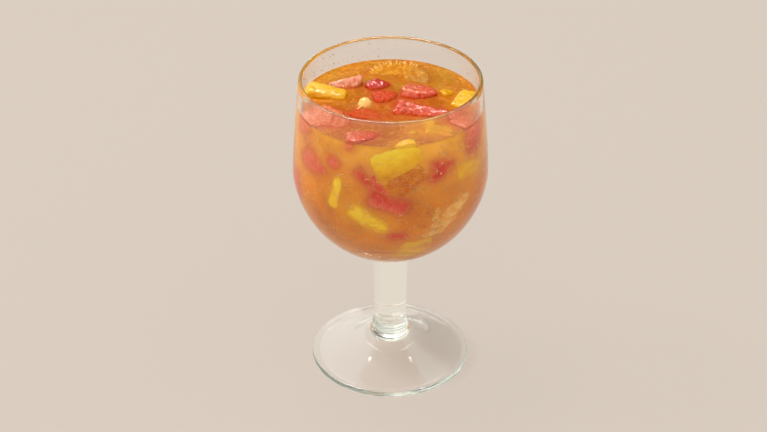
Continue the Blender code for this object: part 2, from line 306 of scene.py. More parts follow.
def juice_material(name, wet):
    """Thick juice: dull where it meets the glass, wet on top."""
    paint = Paint(name)
    place = paint.place()
    halo = paint.mark("halo", "Color")
    strength = paint.mark("halo", "Alpha")
    strength = (strength * ragged_share(paint, place)).least(1.0)
    # On top the halo is darkened too: partly wetness, partly painted shade against the stronger
    # light from above.
    if wet:
        halo = paint.mix(1.0, halo, WET_SHADE_DEPTH, "MULTIPLY")
    colour = paint.mix(strength, juice_colour(paint, place, wet), halo)
    # Painted shade: the meniscus is darkened to a brown line at the front of the glass.
    front = 1.0 - paint.axis(place, "Y").between(-16.0, 4.0)
    edge = paint.mark("meniscus")
    colour = paint.mix(edge * front * 0.55, colour, tint(150, 78, 30))
    relief = paint.noise(place, 0.9, 4.0, 0.62) + paint.noise(place, 3.8, 2.0, 0.5) * 1.4
    values = {"Base Color": colour, "Normal": paint.bump(relief, 0.16 if wet else 0.03),
              "Subsurface Weight": 0.12, "Subsurface Scale": 1.5 * MM,
              "Subsurface Radius": (1.0, 0.5, 0.2)}
    if wet:
        values["Roughness"] = 0.28 + paint.noise(place, 2.2) * 0.14
        values["Specular IOR Level"] = 0.07
    else:
        values["Roughness"] = 0.55 + paint.noise(place, 2.2) * 0.2
        values["Specular IOR Level"] = 0.05
    return paint.surface(values)


def fruit_material(name, flesh, wet, light):
    """Fruit flesh that sinks into the colour of the juice where the piece goes under."""
    paint = Paint(name)
    place = paint.place()
    # Each flesh reads the pale mark: partly the flesh that shows, partly painted light on the lit
    # side of the piece.
    colour, relief, depth = flesh(paint, place)
    # Above the juice the flesh and its halo are darkened: partly wetness, partly painted shade
    # against the stronger light from above.
    wet_and_shade = {pale_flesh: WET_SHADE_DEPTH_PALE, strawberry_flesh: WET_SHADE_DEPTH_RED}.get(flesh, WET_SHADE_DEPTH)
    if wet:
        colour = paint.mix(1.0, colour, wet_and_shade, "MULTIPLY")
        light = tuple(a * b for a, b in zip(light, wet_and_shade))
    ragged = ragged_share(paint, place)
    veil = paint.mark("veil")
    veil = (veil * (veil + (1.0 - veil) * ragged)).least(1.0)
    clouded = paint.mix(ragged * HALO_AT_FRUIT, juice_colour(paint, place, wet), light)
    colour = paint.mix(veil, colour, clouded)
    values = {"Base Color": colour, "Normal": paint.bump(relief, depth if wet else depth * 0.35),
              "Specular IOR Level": 0.05, "Subsurface Weight": 0.3 if wet else 0.12,
              "Subsurface Scale": 1.6 * MM, "Subsurface Radius": (1.0, 0.4, 0.25)}
    if wet:
        values["Roughness"] = 0.12 + paint.noise(place, 1.7) * 0.12
        gloss = 1.0 if flesh is strawberry_flesh else 0.6
        values["Coat Weight"] = (1.0 - veil * 3.0).most(0.0) * gloss
        values["Coat Roughness"] = 0.05
    else:
        values["Roughness"] = 0.5 + paint.noise(place, 1.7) * 0.2
    return paint.surface(values)


def strawberry_flesh(paint, place):
    """Red skin to salmon flesh, with pale strands that run from the core to the skin."""
    pale = paint.mark("pale")
    strand = paint.fibre(place, (1.7, 0.42, 0.42), (0.5, 0.3, 0.4), 1.0, 3.0, 0.55, 0.4)
    blotch = paint.noise(place, 2.4, 3.0, 0.55)
    share = pale * 0.78 + (strand - 0.5) * 0.75 + (blotch - 0.5) * 0.42 + 0.06
    colour = paint.ramp(share, [(0.0, tint(186, 24, 16)), (0.28, tint(216, 62, 40)),
                                (0.60, tint(232, 114, 84)), (0.88, tint(246, 174, 152)),
                                (1.0, tint(255, 214, 198))])
    pits = paint.cells(place, 1.9).between(0.0, 0.5)
    relief = pits * 0.35 + paint.noise(place, 2.1, 1.5) * 1.6 + paint.noise(place, 1.0, 2.0) * 0.6
    return colour, relief, 0.44


def mango_flesh(paint, place):
    """Clear yellow flesh with paler fibres drawn through it."""
    pale = paint.mark("pale")
    fibre = paint.fibre(place, (0.30, 1.5, 0.9), (0.2, 0.3, 0.5), 1.0, 4.0, 0.6, 0.5)
    blotch = paint.noise(place, 4.5, 2.0, 0.5)
    share = pale * 0.8 + (fibre - 0.5) * 0.62 + (blotch - 0.5) * 0.50 + 0.10
    colour = paint.ramp(share, [(0.0, tint(204, 124, 4)), (0.3, tint(234, 174, 12)),
                                (0.65, tint(246, 208, 38)), (1.0, tint(252, 226, 92))])
    relief = paint.noise(place, 2.4, 1.5) * 1.4 + paint.noise(place, 0.8, 2.0) * 0.2 + fibre * 0.3
    return colour, relief, 0.34


def orange_flesh(paint, place):
    """Juice cells, long and packed, amber between paler skins."""
    pale = paint.mark("pale")
    wander = paint.stretched(place, (1.0, 1.0, 0.62), (0.0, 0.4, 0.3))
    cell = paint.cells(wander, 2.4)
    skin = 1.0 - paint.cells(wander, 2.4, "DISTANCE_TO_EDGE").between(0.0, 0.09)
    share = pale * 0.6 + (cell - 0.4) * 0.4 + paint.noise(place, 3.0) * 0.5
    colour = paint.ramp(share, [(0.0, tint(194, 88, 0)), (0.4, tint(216, 118, 0)),
                                (0.75, tint(232, 158, 14)), (1.0, tint(240, 186, 66))])
    film = skin * paint.noise(place, 1.6).between(0.3, 0.6) * 0.3
    colour = paint.mix(film, colour, tint(236, 180, 90))
    relief = (1.0 - cell) * 1.2 + paint.noise(place, 0.6, 3.0)
    return colour, relief, 0.25


def skin_flesh(paint, place):
    """Torn segment skin: pale, thin and drawn into soft folds."""
    fold = paint.fibre(place, (0.5, 0.8, 1.3), (0.2, 0.5, 0.1), 2.6, 4.0, 0.6, 0.5)
    colour = paint.ramp(fold, [(0.25, tint(214, 130, 28)), (0.45, tint(232, 164, 68)),
                               (0.65, tint(250, 206, 126))])
    return colour, fold, 0.2


def pale_flesh(paint, place):
    """Soft pale yellow tip of a segment."""
    share = paint.noise(place, 2.0, 3.0) + paint.mark("pale") * 0.25
    colour = paint.ramp(share, [(0.25, tint(238, 186, 92)), (0.6, tint(250, 214, 132)),
                                (0.9, tint(255, 236, 176))])
    return colour, paint.noise(place, 0.8, 3.0), 0.12


FLESH = {"strawberry": strawberry_flesh, "mango": mango_flesh, "orange": orange_flesh,
         "pale": pale_flesh, "skin": skin_flesh}

# Colour of the glow painted into the stem, which stands in for light through it.
PAINTED_STEM_GLOW = tint(255, 248, 228)


def glass_material():
    """Clear thick glass, faintly green through its depth, with slight waves in its surface,
    a painted glow in its stem and a painted dark band on its lip.
    """
    paint = Paint("clear_glass")
    place = paint.place()
    wave = paint.fibre(place, (1.0, 1.0, 2.2), (0, 0, 0), 14.0, 2.0, 0.4)
    height = paint.axis(place, "Z")
    # Painted light: the stem glows a milky white, dimmed to 15% of that at its left edge as painted
    # shade.
    stem = height.between(17.0, 24.0) * (1.0 - height.between(56.0, 61.0))
    stem = stem * (0.15 + paint.axis(place, "X").between(-8.0, -3.5) * 0.85)
    # Painted shade: the top of the lip is tinted darker, which paints in the dark line that the rim
    # shows.
    lip = height.between(148.6, 149.3)
    clear = paint.node("ShaderNodeBsdfPrincipled", {}, {
        "Base Color": paint.mix(lip, (1.0, 1.0, 1.0, 1.0), (0.70, 0.74, 0.66, 1.0)),
        "IOR": 1.5, "Transmission Weight": 1.0,
        "Emission Color": paint.mix(stem, (0.0, 0.0, 0.0, 1.0), PAINTED_STEM_GLOW),
        "Emission Strength": 0.05, "Roughness": 0.0, "Normal": paint.bump(wave, 0.03)})
    passing = paint.node("ShaderNodeBsdfTransparent")
    in_shadow = paint.node("ShaderNodeLightPath", output="Is Shadow Ray")
    shown = paint.node("ShaderNodeMixShader", {}, {0: in_shadow, 1: clear, 2: passing})
    depth = paint.node("ShaderNodeVolumeAbsorption", {},
                       {"Color": (0.72, 0.96, 0.83, 1.0), "Density": 7.5})
    paint.tree.links.new(shown.socket, paint.output.inputs["Surface"])
    paint.tree.links.new(depth.socket, paint.output.inputs["Volume"])
    return paint.material


def cell_material():
    """Juice cells of the segment, which sink into the juice towards its core."""
    paint = Paint("orange_cell")
    place = paint.place()
    share = paint.noise(place, 2.0, 3.0).between(0.3, 0.7)
    colour = paint.mix(share, tint(188, 112, 4), tint(216, 152, 24))
    sunk = 1.0 - (paint.axis(place, "Y") + paint.noise(place, 3.0) * 4.0).between(22.0, 30.0)
    colour = paint.mix(sunk, colour, juice_colour(paint, place, True))
    return paint.surface({"Base Color": colour, "Roughness": 0.24 + share * 0.1,
                          "Specular IOR Level": 0.14,
                          "Normal": paint.bump(paint.noise(place, 0.5), 0.08)})


# ---- Bowl curves

def bowl_radius(height, bottom=BOWL_BOTTOM, belly=BELLY_RADIUS, rim=RIM_RADIUS):
    """Radius of one wall of the bowl at a height, or at an array of heights."""
    height = np.asarray(height, float)
    down = np.clip((BELLY_HEIGHT - height) / (BELLY_HEIGHT - bottom), 0.0, 1.0)
    up = np.clip((height - BELLY_HEIGHT) / (HEIGHT - BELLY_HEIGHT), 0.0, 1.0)
    lower = belly * (1 - down ** LOWER_BULGE) ** (1 / LOWER_ROUNDNESS)
    return np.where(height < BELLY_HEIGHT, lower, belly - (belly - rim) * up ** UPPER_LEAN)


def inner_radius(height, reach=0.0):
    """Radius of the bowl's inner wall, or of a surface that reaches into the wall."""
    return bowl_radius(height, BOWL_BOTTOM + BOWL_FLOOR - reach, BELLY_RADIUS - BELLY_WALL + reach,
                       RIM_RADIUS - RIM_WALL + reach)


def bowl_run(bottom, top, lower_steps, upper_steps):
    """Heights up the bowl, close together near its bottom."""
    lower = [BELLY_HEIGHT - (BELLY_HEIGHT - bottom) * math.cos(0.5 * math.pi * k / lower_steps)
             for k in range(lower_steps)]
    return lower + list(np.linspace(BELLY_HEIGHT, top, upper_steps + 1))


def arc(middle, size, start, end, steps):
    """Points on an arc of the turned outline, between angles in degrees."""
    angles = [math.radians(start + (end - start) * k / steps) for k in range(steps + 1)]
    return [(middle[0] + size * math.cos(a), middle[1] + size * math.sin(a)) for a in angles]


def eased(points, steps):
    """A smooth run through points of the outline."""
    padded = [points[0]] + points + [points[-1]]
    run = []
    for a, b, c, d in zip(padded, padded[1:], padded[2:], padded[3:]):
        for k in range(steps):
            t = k / steps
            run.append(tuple(0.5 * (2 * q + (r - p) * t + (2 * p - 5 * q + 4 * r - s) * t * t
                                    + (3 * q - p - 3 * r + s) * t ** 3)
                             for p, q, r, s in zip(a, b, c, d)))
    return run + [points[-1]]


def turned(outline, segments):
    """A closed form turned about Z from (radius, height) points."""
    bm = bmesh.new()
    verts = [bm.verts.new((radius, 0, height)) for radius, height in outline]
    edges = [bm.edges.new(pair) for pair in zip(verts, verts[1:])]
    bmesh.ops.spin(bm, geom=verts + edges, cent=(0, 0, 0), axis=(0, 0, 1), angle=math.tau,
                   steps=segments, use_merge=True)
    bmesh.ops.remove_doubles(bm, verts=bm.verts, dist=0.0005)
    bmesh.ops.recalc_face_normals(bm, faces=bm.faces)
    return bm


def on_wall(angle, height, depth=0.0):
    """A point on the bowl's inner wall, or that depth inside it."""
    around = math.radians(angle)
    radius = float(inner_radius(height)) - depth
    return Vector((math.sin(around) * radius, -math.cos(around) * radius, height))


# ---- Making pieces

def finish_piece(name, bm, materials, nodes=(), marks=None):
    """A shape in millimetres as a finished piece in its place."""
    bmesh.ops.scale(bm, vec=(MM, MM, MM), verts=bm.verts)
    mesh = bpy.data.meshes.new(name)
    bm.to_mesh(mesh)
    bm.free()
    for mark, values in (marks or {}).items():
        kind, field = ("FLOAT_COLOR", "color") if values.ndim == 2 else ("FLOAT", "value")
        layer = mesh.attributes.new(mark, kind, "POINT")
        layer.data.foreach_set(field, values.astype(np.float32).ravel())
    for material in materials:
        mesh.materials.append(material)
    mesh.shade_smooth()
    piece = bpy.data.objects.new(name, mesh)
    bpy.context.scene.collection.objects.link(piece)
    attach(piece, "root")
    if nodes:
        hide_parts(*nodes)


def finish_small(name, bm, finish, low, high, roughness):
    """Finish threads, cell skins or seeds in a colour that wanders between two display colours."""
    paint = Paint(finish)
    place = paint.place()
    share = paint.noise(place, 3.0, 3.0).between(0.3, 0.7)
    material = paint.surface({"Base Color": paint.mix(share, tint(*low), tint(*high)),
                              "Roughness": roughness + paint.noise(place, 1.0) * 0.15,
                              "Specular IOR Level": 0.2,
                              "Normal": paint.bump(paint.noise(place, 0.4), 0.05)})
    finish_piece(name, bm, [material])


def points_of(bm):
    return np.array([vert.co for vert in bm.verts])


def move_points(bm, points):
    for vert, point in zip(bm.verts, points):
        vert.co = point


def ease(values):
    values = np.clip(values, 0.0, 1.0)
    return values * values * (3 - 2 * values)


def leaning(side, up, degrees):
    """Places along and up the wall, turned about their middle."""
    turn = math.radians(degrees)
    return side * math.cos(turn) - up * math.sin(turn), side * math.sin(turn) + up * math.cos(turn)


def glass_outline():
    """The outline of the glass, from the middle of its underside round to the bowl's floor."""
    edge = FOOT_EDGE / 2
    underside = eased([(0.0, FOOT_HOLLOW), (12.0, FOOT_HOLLOW * 0.86), (22.0, FOOT_HOLLOW * 0.45),
                       (FOOT_RING_INNER, 0.0)], 5)
    rim_of_foot = arc((FOOT_RADIUS - edge, edge), edge, -90, 78, 14)
    rise = eased([rim_of_foot[-1], (30.0, 4.7), (21.0, 7.9), (14.0, 10.3), (10.6, 11.5),
                  (9.2, 12.0)], 7)[1:-1]
    bead = arc((BEAD_RADIUS - BEAD_ROUND, BEAD_HEIGHT), BEAD_ROUND, -42, 52, 12)
    ring = arc((RING_RADIUS - RING_ROUND, RING_HEIGHT), RING_ROUND, -42, 52, 8)
    stem = eased([(7.35, 19.6), (7.36, 21.0), (7.42, 22.6), (7.40, 23.0), (7.45, 23.4),
                  (7.50, 25.8), (7.47, 26.2), (7.54, 26.6), (7.82, 40.0), (8.12, 50.0),
                  (8.40, 57.5), (8.75, 59.6), (9.9, 60.75)], 4)
    top = HEIGHT - RIM_WALL / 2
    outer = [(float(bowl_radius(z)), z) for z in bowl_run(BOWL_BOTTOM, top, 46, 22)]
    outer = [point for point in outer if point[0] > 10.4]
    rim = arc((RIM_RADIUS - RIM_WALL / 2, top), RIM_WALL / 2, 8, 172, 12)
    floor = BOWL_BOTTOM + BOWL_FLOOR
    inner = [(float(inner_radius(z)), z) for z in reversed(bowl_run(floor, top, 46, 22))]
    return underside + rim_of_foot + rise + bead + ring + stem + outer + rim + inner


# Look of each piece: how pale its flesh is, which way its paler side faces (along the
# wall, inwards, up), partly the flesh that shows and partly painted light on its lit side,
# how far its edges fade, how veiled it is, and how wrinkled
UP = (0, 0, 0.2)
LOOKS = {
    "orange_back": (0.50, UP, 2.4, 0.0, 0.3),
    "strawberry_back_left": (0.84, (0.1, -0.1, 0.7), 1.6, 0.0, 0.5),
    "strawberry_back_small": (0.04, UP, 2.0, 0.0, 1.3),
    "mango_left": (0.42, (-0.2, 0, 0.8), 1.8, 0.0, 0.75),
    "strawberry_back_right": (0.34, (0, 0.1, 0.9), 2.0, 0.05, 0.9),
    "strawberry_middle": (0.30, UP, 4.0, 0.20, 0.9),
    "strawberry_large": (0.38, (0, 0, 0.4), 2.4, 0.0, 2.4),
    "mango_small": (0.40, UP, 1.8, 0.25, 0.6),
    "mango_right": (0.48, (0, 0, 0.6), 1.8, 0.0, 0.7),
    "pale_piece": (0.5, UP, 1.0, 0.0, 0.15),
    "strawberry_front_middle": (0.32, UP, 4.5, 0.45, 0.7),
    "strawberry_front_left": (0.74, (0, 0, 0.3), 3.2, 0.38, 0.7),
    "strawberry_front": (0.40, (-0.7, 0, 0.3), 2.2, 0.15, 0.6),
    "mango_front_right": (0.60, (0, 0, 0.3), 4.0, 0.50, 0.6),
    "mango_front_small": (0.60, (0, 0, 0.3), 3.0, 0.45, 0.6),
    "strawberry_right": (0.56, (0, 0, 0.5), 3.2, 0.28, 0.6),
    "mango_front": (0.46, (-0.5, 0, 1.0), 0.8, 0.0, 0.25),
    "strawberry_left_high": (0.66, (-0.2, 0, 0.1), 2.8, 0.30, 0.3),
    "strawberry_left_small": (0.62, (0.2, 0, 0.2), 2.2, 0.15, 0.3),
    "mango_stick": (0.65, (0.2, 0.1, 0.2), 1.8, 0.02, 0.3),
    "strawberry_upper": (0.42, (-0.3, 0, 0.2), 2.8, 0.05, 0.3),
    "strawberry_lower": (0.36, (-0.5, 0, -0.9), 2.0, 0.0, 0.3),
    "mango_lower_left": (0.66, UP, 4.0, 0.0, 0.4),
    "strawberry_seeded": (0.24, UP, 3.0, 0.0, 0.3),
    "mango_right_low": (0.30, UP, 2.0, 0.12, 0.3),
    "orange_skin": (0.75, UP, 1.4, 0.05, 0.3),
    "orange_front": (0.05, UP, 1.0, 0.0, 0.3),
    "strawberry_low": (0.28, UP, 3.0, 0.15, 0.3),
    "mango_bottom": (0.30, UP, 2.2, 0.2, 0.3),
    "strawberry_left_low": (0.55, UP, 2.4, 0.3, 0.3),
    "strawberry_right_low": (0.55, UP, 2.4, 0.35, 0.3),
}
USUAL_LOOK = (0.4, (0, 0, 0.3), 1.8, 0.1, 0.35)

FRUIT_LIGHT = {"strawberry": tint(204, 84, 56), "mango": tint(226, 160, 40),
               "orange": tint(202, 112, 12), "pale": tint(230, 170, 90), "skin": tint(222, 146, 60)}


def kind_of(name):
    """The flesh that a piece is made of."""
    return "skin" if name == "orange_skin" else name.split("_")[0]


def softened(node):
    """A node's solid with an even, fine mesh in place of its facets."""
    bm = bmesh.new()
    bm.from_mesh(node.data)
    bmesh.ops.remove_doubles(bm, verts=bm.verts, dist=1e-7)
    bmesh.ops.scale(bm, vec=(1 / MM, 1 / MM, 1 / MM), verts=bm.verts)
    mesh = bpy.data.meshes.new("rough")
    bm.to_mesh(mesh)
    bm.free()
    rough = bpy.data.objects.new("rough", mesh)
    bpy.context.scene.collection.objects.link(rough)
    even = rough.modifiers.new("even", "REMESH")
    even.mode = "VOXEL"
    even.voxel_size = FRUIT_CELL
    return rough


def even_meshes(names):
    """The even mesh of each named node, as a bmesh in millimetres."""
    rough = {name: softened(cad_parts[name]) for name in names}
    seen = bpy.context.evaluated_depsgraph_get()
    shapes = {}
    for name, obj in rough.items():
        bm = bmesh.new()
        bm.from_mesh(bpy.data.meshes.new_from_object(obj.evaluated_get(seen)))
        shapes[name] = bm
        bpy.data.objects.remove(obj, do_unlink=True)
    return shapes


def noise_at(points, size, offset):
    """Smooth noise at points, with features of a size in millimetres."""
    shift = Vector(offset)
    return np.array([noise.noise(Vector(point) / size + shift) for point in points])


def shape_fruit(name, bm, seed):
    """Round off a piece, press it to the wall, wrinkle the rest, and mark what shows."""
    pale, side, fade, veiled, wrinkle = LOOKS.get(name, USUAL_LOOK)
    passes = 4 if name.startswith("strawberry") else 6
    for _ in range(passes):
        bmesh.ops.smooth_vert(bm, verts=bm.verts, factor=0.5, use_axis_x=True, use_axis_y=True,
                              use_axis_z=True)
    bm.normal_update()
    points = points_of(bm)
    normals = np.array([vert.normal for vert in bm.verts])
    radius = np.hypot(points[:, 0], points[:, 1])
    gap = inner_radius(points[:, 2]) - radius
    free = ease((gap - PRESS_FROM) / PRESS_OVER)
    offset = (seed * 3.7, seed * 1.9, seed * 2.3)
    lumps = noise_at(points, 4.5, offset) * 0.35 + noise_at(points, 1.7, offset) * 0.30
    folds = (0.5 - np.abs(noise_at(points, 1.5, (seed * 1.3, 5, 9)))) * 0.6
    lift = 0.22 + (lumps + folds * min(wrinkle, 1.2) * 0.8) * wrinkle ** 0.5
    moved = points + normals * (lift * free)[:, None]
    radius = np.hypot(moved[:, 0], moved[:, 1])
    gap = inner_radius(moved[:, 2]) - radius
    pressed = ease((gap - PRESS_FROM) / PRESS_OVER)
    wanted = np.where(pressed < 1, -FRUIT_INTO_WALL * (1 - pressed) + gap * pressed, gap)
    wanted = np.maximum(wanted, -FRUIT_INTO_WALL)
    scale = (radius + gap - wanted) / np.maximum(radius, 1e-6)
    moved[:, :2] *= scale[:, None]
    move_points(bm, moved)
    bm.normal_update()

    touching = wanted < -0.06
    veil = np.ones(len(moved))
    if touching.any() and not touching.all():
        edge = moved[~touching]
        inside = moved[touching]
        near = np.array([np.sqrt(((edge - point) ** 2).sum(1).min()) for point in inside])
        wave = noise_at(inside, 2.6, offset) * 0.8 + noise_at(inside, 1.0, offset) * 0.35 + 1.0
        veil[touching] = 1 - ease((near * wave) / fade)
    above = moved[:, 2] - JUICE_LEVEL
    out = ease((above - 0.1 - noise_at(moved, 1.6, offset) * 0.6) / (0.9 + fade * 0.5))
    veil = np.minimum(veil, 1 - out)
    veil = np.maximum(veil, veiled * np.where(touching, 1.0, 0.6))
    middle = (moved.min(0) + moved.max(0)) / 2
    half = (moved.max(0) - moved.min(0)) / 2
    around = math.atan2(middle[0], -middle[1])
    along = np.array((math.cos(around), math.sin(around), 0.0))
    across = np.array((-math.sin(around), math.cos(around), 0.0))
    # Paler towards the side given in LOOKS: partly the flesh that shows, partly painted light on
    # the side that light falls on.
    local = moved - middle
    lean = (local @ along) / (abs(along) @ half + 1e-6) * side[0]
    lean += (local @ across) / (abs(across) @ half + 1e-6) * side[1]
    lean += local[:, 2] / half[2] * side[2]
    paleness = np.clip(pale + lean * 0.5, 0.0, 1.0)
    for face in bm.faces:
        face.material_index = 1 if face.calc_center_median().z > JUICE_LEVEL - 0.2 else 0
    return {"veil": veil, "pale": paleness}


def make_fruit():
    """Every piece of fruit, and the tree that tells how far a point is from it."""
    materials = {}
    for kind, flesh in FLESH.items():
        materials[kind] = [fruit_material(kind + "_sunk", flesh, False, FRUIT_LIGHT[kind]),
                           fruit_material(kind + "_wet", flesh, True, FRUIT_LIGHT[kind])]
    names = [name for name in sorted(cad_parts) if name not in ("glass", "juice")]
    trees = {}
    for seed, (name, bm) in enumerate(even_meshes(names).items()):
        kind = kind_of(name)
        marks = shape_fruit(name, bm, seed)
        trees[name] = (BVHTree.FromBMesh(bm), points_of(bm).min(0), points_of(bm).max(0))
        finish_piece(name + "_piece", bm, materials[kind], [name], marks)
    return trees


# ---- Juice

# Soft shapes seen through the juice: angle, height, length, width, lean, colour, strength
SUNK = [
    (-39, 103.5, 15, 6, -60, (176, 84, 34), 0.40),
    (-50, 98, 12, 6, -50, (184, 92, 40), 0.30),
    (-84, 112, 6, 24, 0, (206, 100, 76), 0.55),
    (62, 98, 7, 20, -25, (198, 104, 70), 0.45),
    (20, 87, 20, 5, 10, (206, 140, 44), 0.55),
    (-12, 84, 14, 6, 5, (178, 92, 36), 0.35),
    (-10, 126, 16, 6, 0, (226, 158, 78), 0.45),
    (12, 108, 14, 12, 0, (186, 98, 32), 0.40),
    (38, 112, 16, 8, 0, (198, 118, 44), 0.35),
    (-22, 96, 9, 6, 30, (196, 112, 34), 0.35),
    (-58, 128, 14, 6, 0, (218, 140, 70), 0.4),
    (150, 98, 14, 8, 20, (190, 100, 46), 0.4),
    (200, 122, 16, 8, 0, (222, 150, 66), 0.4),
    (240, 100, 12, 8, 40, (186, 92, 40), 0.4),
    (100, 108, 10, 14, 0, (196, 106, 60), 0.4),
]


def near_fruit(points, trees):
    """How strongly each point of the juice takes the colour of fruit near it, and which."""
    colour = np.zeros((len(points), 3))
    total = np.zeros(len(points))
    for name, (tree, low, high) in trees.items():
        reach = 4.0
        chosen = np.where(((points > low - reach) & (points < high + reach)).all(1))[0]
        fade = LOOKS.get(name, USUAL_LOOK)[2]
        spread = 0.55 + fade * 0.45
        light = np.array(FRUIT_LIGHT[kind_of(name)][:3])
        for index in chosen:
            found = tree.find_nearest(Vector(points[index]), reach)
            if found[0] is not None:
                strength = HALO_AT_FRUIT * math.exp(-found[3] / spread)
                colour[index] += light * strength
                total[index] += strength
    for angle, height, length, width, lean, light, strength in SUNK:
        middle = np.array(on_wall(angle, height))
        around = math.radians(angle)
        along = np.array((math.cos(around), math.sin(around), 0.0))
        away = points - middle
        x, y = leaning(away @ along, away[:, 2], -lean)
        x, y = x / (length / 2), y / (width / 2)
        deep = np.abs(away @ np.cross(along, (0, 0, 1.0)))
        share = np.exp(-(x * x + y * y)) * (deep < SUNK_REACH) * strength
        colour += np.array(tint(*light)[:3]) * share[:, None]
        total += share
    shown = colour / np.maximum(total, 1e-6)[:, None]
    return np.column_stack([shown, np.minimum(total, 0.9)])


def juice_outline():
    """The outline of the juice: level on top, turned up at the wall, then down the bowl."""
    edge = float(inner_radius(JUICE_LEVEL + MENISCUS, JUICE_INTO_WALL))
    level = edge - MENISCUS_WIDTH
    flat = np.linspace(0.0, level, int(level / JUICE_CELL))
    lip = [(level + MENISCUS_WIDTH * k / 10, JUICE_LEVEL + MENISCUS * (k / 10) ** 3.2)
           for k in range(1, 11)]
    floor = BOWL_BOTTOM + BOWL_FLOOR - JUICE_INTO_WALL
    heights = bowl_run(floor, JUICE_LEVEL + MENISCUS - 0.4, 64, 46)
    wall = [(float(inner_radius(z, JUICE_INTO_WALL)), z) for z in reversed(heights)]
    return [(float(r), JUICE_LEVEL) for r in flat] + lip + wall


def make_juice(trees):
    """The juice, its surface raised where it clings to fruit, and marked with what tints it."""
    bm = turned(juice_outline(), JUICE_SEGMENTS)
    points = points_of(bm)
    radius = np.hypot(points[:, 0], points[:, 1])
    top = (points[:, 2] > JUICE_LEVEL - 0.01) & (radius < SWELL_REACH)
    halo = near_fruit(points, trees)
    cling = np.zeros(len(points))
    cling[top] = halo[top, 3]
    swell = noise_at(points[top], 7.0, (3, 1, 4)) * 0.22
    swell += noise_at(points[top], 2.0, (1, 5, 9)) * 0.08
    points[top, 2] += swell + ease(cling[top] / 0.6) * 0.55
    move_points(bm, points)
    brim = ease((points[:, 2] - JUICE_LEVEL - 0.1) / 0.6) * (radius > BRIM_FROM)
    for face in bm.faces:
        middle = face.calc_center_median()
        on_top = middle.z > JUICE_LEVEL - 1.0 and face.normal.z > 0.15
        face.material_index = 1 if on_top else 0
    materials = [juice_material("juice_in_glass", False), juice_material("juice_surface", True)]
    finish_piece("juice_body", bm, materials, ["juice"], {"halo": halo, "meniscus": brim})


# ---- Small things in the juice

def add_strand(bm, path, thickness, sides=4):
    """A thin closed thread through points, drawn out from its first end."""
    ends = bmesh.ops.create_circle(bm, cap_ends=True, segments=sides, radius=thickness)
    face = ends["verts"][0].link_faces[0]
    for k, point in enumerate(path):
        ahead = path[min(k + 1, len(path) - 1)] - path[max(k - 1, 0)]
        turn = ahead.to_track_quat("Z", "Y").to_matrix()
        share = math.sin(math.pi * (k + 0.6) / (len(path) + 0.2))
        if k:
            grown = bmesh.ops.extrude_face_region(bm, geom=[face])
            face = [item for item in grown["geom"] if isinstance(item, bmesh.types.BMFace)][0]
        for corner, vert in enumerate(face.verts):
            around = math.tau * corner / sides
            ring = Vector((math.cos(around), math.sin(around), 0)) * thickness * (0.3 + 0.7 * share)
            vert.co = point + turn @ ring


def add_grain(bm, middle, size, turn, segments=8, rings=6):
    """A small rounded grain of a size, its long way along its own X."""
    half = Matrix.Diagonal((*[side / 2 for side in size], 1))
    matrix = Matrix.Translation(middle) @ turn.to_4x4() @ half
    bmesh.ops.create_uvsphere(bm, u_segments=segments, v_segments=rings, radius=1.0, matrix=matrix)


def wall_frame(angle, lean=0.0):
    """A turn with X along the wall, Y up it and Z out of it."""
    around = math.radians(angle)
    along = Vector((math.cos(around), math.sin(around), 0))
    out = Vector((math.sin(around), -math.cos(around), 0))
    up = Vector((0, 0, 1))
    return Matrix((along, up, out)).transposed() @ Matrix.Rotation(math.radians(lean), 3, "Z")


def make_pulp():
    """Fine threads and flecks of pulp against the glass and in the top of the juice."""
    rng = np.random.default_rng(5)
    bm = bmesh.new()
    for _ in range(1100):
        angle, height = rng.uniform(-180, 180), 136 - 66 * rng.uniform() ** 1.35
        heading, bend = rng.uniform(0, math.tau), rng.normal(0, 0.25)
        step, steps = rng.uniform(0.35, 1.1), 5
        radius = float(inner_radius(height))
        path = []
        for k in range(steps):
            path.append(on_wall(angle, height, THREAD_DEPTH))
            angle += math.degrees(step * math.cos(heading) / radius)
            height += step * math.sin(heading)
            heading += bend
        if max(point.z for point in path) < JUICE_LEVEL - 0.5:
            add_strand(bm, path, 0.05 + 0.11 * rng.uniform() ** 1.6, 3)
    for _ in range(130):
        around, reach = rng.uniform(0, math.tau), 38 * math.sqrt(rng.uniform())
        point = Vector((reach * math.cos(around), reach * math.sin(around), JUICE_LEVEL + 0.15))
        heading, bend = rng.uniform(0, math.tau), rng.normal(0, 0.5)
        path = []
        for k in range(5):
            path.append(point.copy())
            way = Vector((math.cos(heading), math.sin(heading), 0.02 * (k - 2)))
            point += way * rng.uniform(0.5, 0.9)
            heading += bend
        add_strand(bm, path, rng.uniform(0.06, 0.12), 3)
    finish_small("pulp_threads", bm, "pulp_thread", (240, 180, 92), (254, 226, 164), 0.35)
    bm = bmesh.new()
    for _ in range(260):
        angle, height = rng.uniform(-180, 180), rng.uniform(70, 135)
        size = rng.uniform(0.25, 0.6)
        turn = wall_frame(angle, rng.uniform(0, 180))
        shape = (size * rng.uniform(1, 2.2), size, 0.3)
        add_grain(bm, on_wall(angle, height, FLECK_DEPTH), shape, turn, 6, 4)
    finish_small("pulp_flecks", bm, "pulp_fleck", (232, 172, 92), (250, 224, 168), 0.3)


def make_seeds():
    """Seeds on the strawberry pieces that show them."""
    bm = bmesh.new()
    for angle, height, lean in [(32.2, 126.8, 30), (31.3, 122.0, 60), (28.7, 123.7, 80)]:
        place = on_wall(angle, height, SEED_DEPTH)
        add_grain(bm, place, (1.25, 0.85, 0.5), wall_frame(angle, lean))
    for turn, point in [(20, (-15.4, 12.4, 140.2)), (70, (-21.5, 12.2, 138.9)),
                        (50, (17.5, -9.5, 140.0))]:
        add_grain(bm, Vector(point), (1.2, 0.8, 0.6), Matrix.Rotation(math.radians(turn), 3, "Z"))
    finish_small("strawberry_seeds", bm, "seed_husk", (222, 170, 84), (248, 222, 150),
                 0.3)


